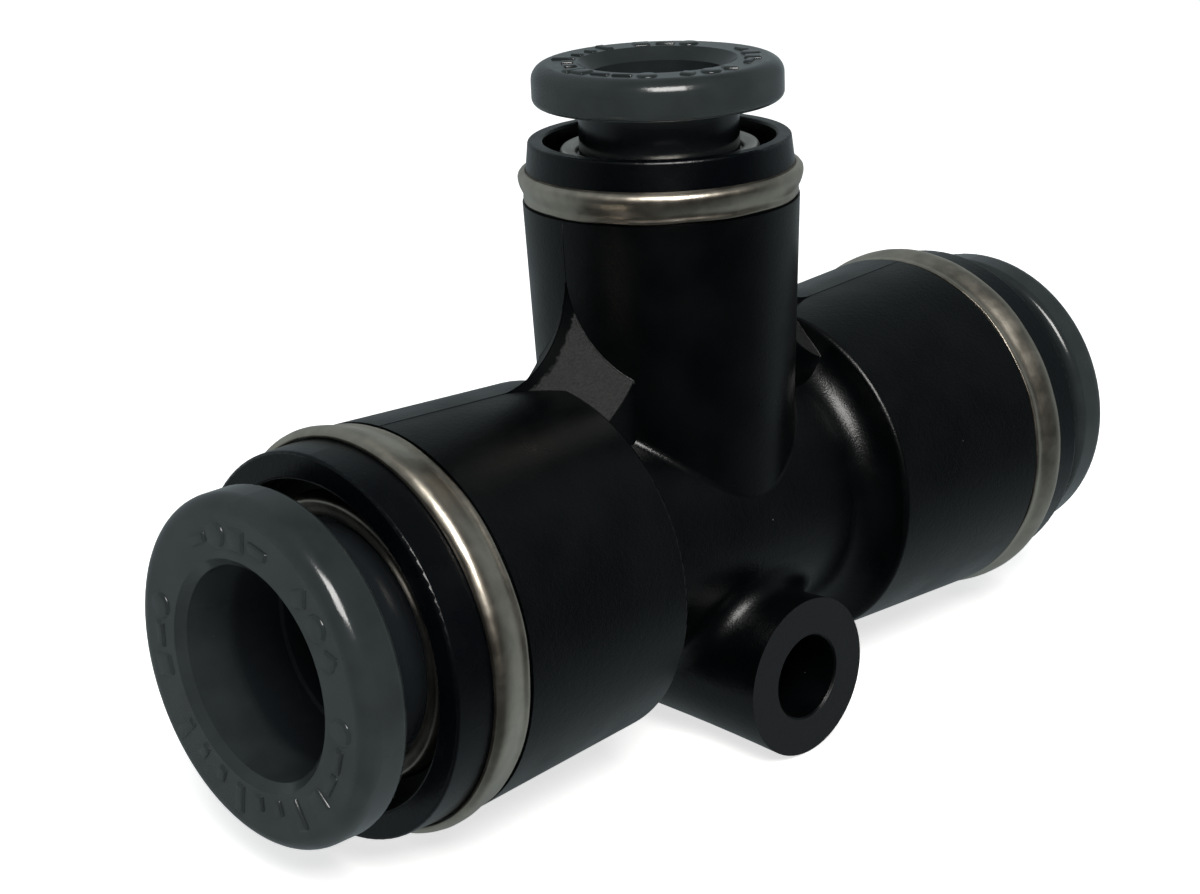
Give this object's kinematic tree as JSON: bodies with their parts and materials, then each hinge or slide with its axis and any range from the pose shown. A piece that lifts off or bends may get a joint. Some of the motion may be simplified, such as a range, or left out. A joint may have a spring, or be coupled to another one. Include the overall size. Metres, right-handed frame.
{
  "type": "push to connect fitting",
  "caption": "Reducing union tee that grips plain tube ends: release buttons press in on each port, crimped metal bands hold the collars, and a boss below takes a mounting screw.",
  "frame": {"origin": "centre of the mounting hole, halfway between the boss faces", "axes": "+X along the two large ports, to the right; +Y along the mounting hole; +Z out of the small branch port"},
  "size_m": [0.053, 0.0192, 0.0334],
  "materials": {
    "body": "satin black moulded",
    "collar": "satin black moulded",
    "button": "satin dark grey moulded",
    "band": "nickel plated, dull",
    "guide": "nickel plated",
    "grip": "spring steel",
    "backup": "natural",
    "seal": "moulded rubber"
  },
  "bodies": {
    "housing": {"tee_body": "body", "end_collar_left": "collar", "end_collar_right": "collar", "end_collar_branch": "collar", "retaining_band_left": "band", "retaining_band_right": "band", "retaining_band_branch": "band", "guide_ring_left": "guide", "guide_ring_right": "guide", "guide_ring_branch": "guide", "backup_ring_left": "backup", "backup_ring_right": "backup", "backup_ring_branch": "backup", "tube_seal_left": "seal", "tube_seal_right": "seal", "tube_seal_branch": "seal"},
    "grip_left": {"grip_ring_left": "grip"},
    "button_left": {"release_button_left": "button"},
    "grip_right": {"grip_ring_right": "grip"},
    "button_right": {"release_button_right": "button"},
    "grip_branch": {"grip_ring_branch": "grip"},
    "button_branch": {"release_button_branch": "button"}
  },
  "joints": [
    {"name": "left_turn", "type": "hinge", "parent": "housing", "child": "grip_left", "pos_m": [0, 0, 0.00646], "axis": [-1, 0, 0], "continuous": true},
    {"name": "left_press", "type": "slide", "parent": "grip_left", "child": "button_left", "axis": [1, 0, 0], "range_m": [0, 0.0015], "stiffness_N_per_m": 1000},
    {"name": "right_turn", "type": "hinge", "parent": "housing", "child": "grip_right", "pos_m": [0, 0, 0.00646], "axis": [1, 0, 0], "continuous": true},
    {"name": "right_press", "type": "slide", "parent": "grip_right", "child": "button_right", "axis": [-1, 0, 0], "range_m": [0, 0.0015], "stiffness_N_per_m": 1000},
    {"name": "branch_turn", "type": "hinge", "parent": "housing", "child": "grip_branch", "pos_m": [0, 0, 0.00646], "axis": [0, 0, 1], "continuous": true},
    {"name": "branch_press", "type": "slide", "parent": "grip_branch", "child": "button_branch", "axis": [0, 0, -1], "range_m": [0, 0.0013], "stiffness_N_per_m": 1000}
  ]
}
